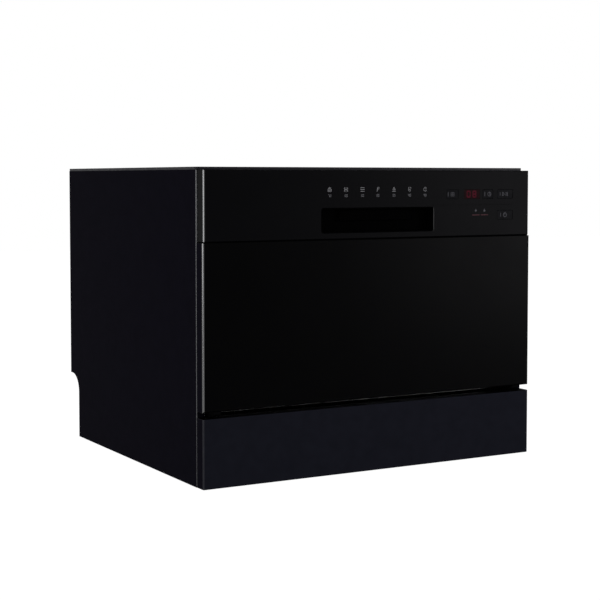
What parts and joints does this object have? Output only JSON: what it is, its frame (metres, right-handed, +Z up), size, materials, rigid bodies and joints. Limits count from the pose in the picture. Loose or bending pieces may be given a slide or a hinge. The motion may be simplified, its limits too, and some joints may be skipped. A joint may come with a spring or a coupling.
{
  "type": "countertop dishwasher",
  "caption": "Black tabletop dishwasher: steel cabinet on a plinth, drop-down door with a finger pocket and key row, stainless tub, wire rack and spray arm.",
  "frame": {"origin": "centre of the body's footprint, on the surface it stands on", "axes": "+Z up, the door faces -Y, +X to the right of someone facing the door's back, which is the picture's right"},
  "size_m": [0.55, 0.5, 0.438],
  "materials": {
    "black_paint": "satin",
    "front_gloss": "gloss",
    "base_plastic": "matte",
    "smoked_lens": "gloss",
    "stainless": "brushed",
    "rubber": "matte",
    "zinc_steel": "zinc",
    "grey_plastic": "satin",
    "white_plastic": "satin",
    "coated_wire": "nylon coated",
    "board": "satin"
  },
  "bodies": {
    "cabinet": {"side_panel_left": "black_paint", "side_panel_right": "black_paint", "top_panel": "black_paint", "rear_panel": "black_paint", "rear_screws": "zinc_steel", "base_tray": "base_plastic", "plinth": "black_paint", "feet": "rubber", "tub": "stainless", "door_gasket": "rubber", "bottom_seal": "rubber", "door_strike": "zinc_steel", "hinge_bracket_left": "zinc_steel", "hinge_bracket_right": "zinc_steel", "sump": "base_plastic", "filter_plate": "stainless", "salt_container": "white_plastic", "spray_arm_post": "grey_plastic", "spray_arm_nut": "base_plastic", "circulation_pump": "grey_plastic", "drain_pump": "base_plastic", "inlet_valve": "white_plastic", "drain_outlet": "base_plastic", "cord_gland": "base_plastic", "air_break": "white_plastic"},
    "filter_cup": {"filter_cup": "grey_plastic"},
    "salt_cap": {"salt_cap": "grey_plastic"},
    "spray_arm": {"spray_arm": "grey_plastic"},
    "door": {"door_panel": "front_gloss", "control_panel": "front_gloss", "handle_pocket": "base_plastic", "display_window": "smoked_lens", "control_board": "board", "door_liner": "stainless", "liner_screws": "stainless", "hinge_arm_left": "zinc_steel", "hinge_arm_right": "zinc_steel", "latch_bracket": "zinc_steel", "dispenser_body": "grey_plastic"},
    "latch_lever": {"latch_lever": "base_plastic"},
    "dispenser_lid": {"dispenser_lid": "white_plastic"},
    "rinse_aid_cap": {"rinse_aid_cap": "base_plastic"},
    "program_key": {"program_key": "front_gloss"},
    "delay_key": {"delay_key": "front_gloss"},
    "start_key": {"start_key": "front_gloss"},
    "power_key": {"power_key": "front_gloss"},
    "rack": {"rack_floor": "coated_wire", "rack_front": "coated_wire", "rack_back": "coated_wire", "rack_left": "coated_wire", "rack_right": "coated_wire", "tine_row_front": "coated_wire", "tine_row_back": "coated_wire"},
    "wheel_front_left": {"wheel_front_left": "grey_plastic"},
    "wheel_front_right": {"wheel_front_right": "grey_plastic"},
    "wheel_rear_left": {"wheel_rear_left": "grey_plastic"},
    "wheel_rear_right": {"wheel_rear_right": "grey_plastic"},
    "cup_shelf": {"cup_shelf": "coated_wire"},
    "cutlery_basket": {"cutlery_basket": "grey_plastic"}
  },
  "joints": [
    {"name": "door_hinge", "type": "hinge", "parent": "cabinet", "child": "door", "pos_m": [0, -0.243, 0.107], "axis": [1, 0, 0], "range_deg": [0, 90]},
    {"name": "rack_slide", "type": "slide", "parent": "cabinet", "child": "rack", "axis": [0, -1, 0], "range_m": [0, 0.0865]},
    {"name": "spray_arm_spin", "type": "hinge", "parent": "cabinet", "child": "spray_arm", "pos_m": [0, -0.0025, 0.13], "axis": [0, 0, 1], "continuous": true},
    {"name": "filter_cup_turn", "type": "hinge", "parent": "cabinet", "child": "filter_cup", "pos_m": [0.095, 0.06, 0.11], "axis": [0, 0, 1], "range_deg": [0, 90]},
    {"name": "salt_cap_turn", "type": "hinge", "parent": "cabinet", "child": "salt_cap", "pos_m": [-0.12, 0.095, 0.124], "axis": [0, 0, 1], "range_deg": [0, 120]},
    {"name": "latch_pull", "type": "hinge", "parent": "door", "child": "latch_lever", "pos_m": [0.0035, -0.238, 0.39], "axis": [-1, 0, 0], "range_deg": [0, 8], "stiffness_Nm_per_rad": 0.3, "springref_deg": -5.73},
    {"name": "program_key_press", "type": "slide", "parent": "door", "child": "program_key", "axis": [0, 1, 0], "range_m": [0, 0.001], "stiffness_N_per_m": 400, "springref_m": -0.0005},
    {"name": "delay_key_press", "type": "slide", "parent": "door", "child": "delay_key", "axis": [0, 1, 0], "range_m": [0, 0.001], "stiffness_N_per_m": 400, "springref_m": -0.0005},
    {"name": "start_key_press", "type": "slide", "parent": "door", "child": "start_key", "axis": [0, 1, 0], "range_m": [0, 0.001], "stiffness_N_per_m": 400, "springref_m": -0.0005},
    {"name": "power_key_press", "type": "slide", "parent": "door", "child": "power_key", "axis": [0, 1, 0], "range_m": [0, 0.001], "stiffness_N_per_m": 400, "springref_m": -0.0005},
    {"name": "dispenser_lid_slide", "type": "slide", "parent": "door", "child": "dispenser_lid", "axis": [0, 0, 1], "range_m": [0, 0.06]},
    {"name": "rinse_aid_cap_turn", "type": "hinge", "parent": "door", "child": "rinse_aid_cap", "pos_m": [0.03, -0.205, 0.262], "axis": [0, 1, 0], "range_deg": [0, 90]},
    {"name": "cup_shelf_fold", "type": "hinge", "parent": "rack", "child": "cup_shelf", "pos_m": [-0.214, -0.007, 0.262], "axis": [0, -1, 0], "range_deg": [0, 85]},
    {"name": "cutlery_basket_lift", "type": "slide", "parent": "rack", "child": "cutlery_basket", "axis": [0, 0, 1], "range_m": [0, 0.1]},
    {"name": "wheel_front_left_spin", "type": "hinge", "parent": "rack", "child": "wheel_front_left", "pos_m": [-0.2313, -0.127, 0.1528], "axis": [1, 0, 0], "continuous": true},
    {"name": "wheel_rear_left_spin", "type": "hinge", "parent": "rack", "child": "wheel_rear_left", "pos_m": [-0.2313, 0.113, 0.1528], "axis": [1, 0, 0], "continuous": true},
    {"name": "wheel_front_right_spin", "type": "hinge", "parent": "rack", "child": "wheel_front_right", "pos_m": [0.2313, -0.127, 0.1528], "axis": [1, 0, 0], "continuous": true},
    {"name": "wheel_rear_right_spin", "type": "hinge", "parent": "rack", "child": "wheel_rear_right", "pos_m": [0.2313, 0.113, 0.1528], "axis": [1, 0, 0], "continuous": true}
  ],
  "couplings": [
    {"joint": "rack_slide", "follows": "door_hinge", "m_per_rad": 0.055}
  ]
}
